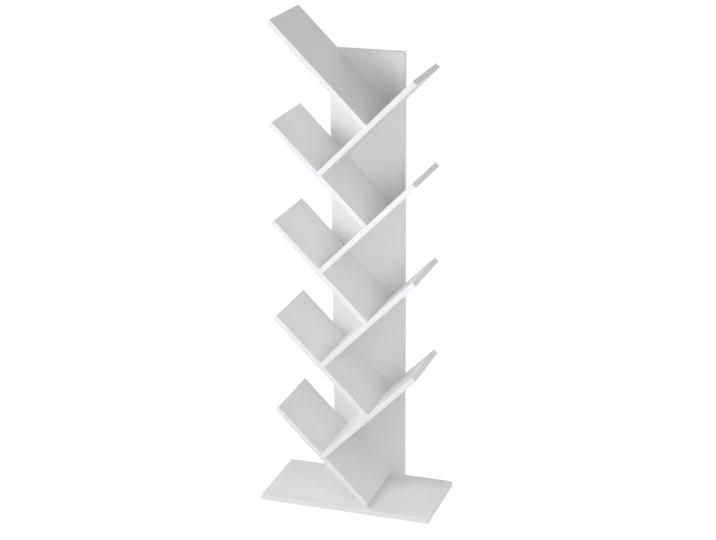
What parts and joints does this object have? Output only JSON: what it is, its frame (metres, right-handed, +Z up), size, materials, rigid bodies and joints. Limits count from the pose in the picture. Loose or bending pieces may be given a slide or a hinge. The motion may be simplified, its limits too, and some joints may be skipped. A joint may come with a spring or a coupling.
{
  "type": "tree shaped bookshelf",
  "caption": "Tall free-standing bookshelf: faced boards lean left and right in turn, each standing square on the one below, screwed to a back upright on a flat base.",
  "frame": {"origin": "on the floor under the middle of the base", "axes": "+Z up, +Y towards the upright at the back, +X to the right seen from the front"},
  "size_m": [0.5, 0.25, 1.3989],
  "materials": {
    "white_board": "white satin melamine facing on particle board",
    "white_edging": "white satin edging strip",
    "zinc_steel": "bright zinc plate",
    "beech": "plain beech",
    "white_plastic": "moulded white plastic"
  },
  "bodies": {
    "root": {"base_dowels": "beech", "base_edging": "white_edging", "base_panel": "white_board", "base_screws": "zinc_steel", "glide_back_left": "white_plastic", "glide_back_right": "white_plastic", "glide_front_left": "white_plastic", "glide_front_right": "white_plastic", "glide_nails": "zinc_steel", "joint_caps": "white_plastic", "joint_dowels": "beech", "joint_screws": "zinc_steel", "left_shelf_1": "white_board", "left_shelf_1_edging": "white_edging", "left_shelf_2": "white_board", "left_shelf_2_edging": "white_edging", "left_shelf_3": "white_board", "left_shelf_3_edging": "white_edging", "left_shelf_4": "white_board", "left_shelf_4_edging": "white_edging", "left_shelf_5": "white_board", "left_shelf_5_edging": "white_edging", "right_shelf_1": "white_board", "right_shelf_1_edging": "white_edging", "right_shelf_2": "white_board", "right_shelf_2_edging": "white_edging", "right_shelf_3": "white_board", "right_shelf_3_edging": "white_edging", "right_shelf_4": "white_board", "right_shelf_4_edging": "white_edging", "upright_edging": "white_edging", "upright_panel": "white_board", "upright_screws": "zinc_steel"}
  },
  "joints": []
}
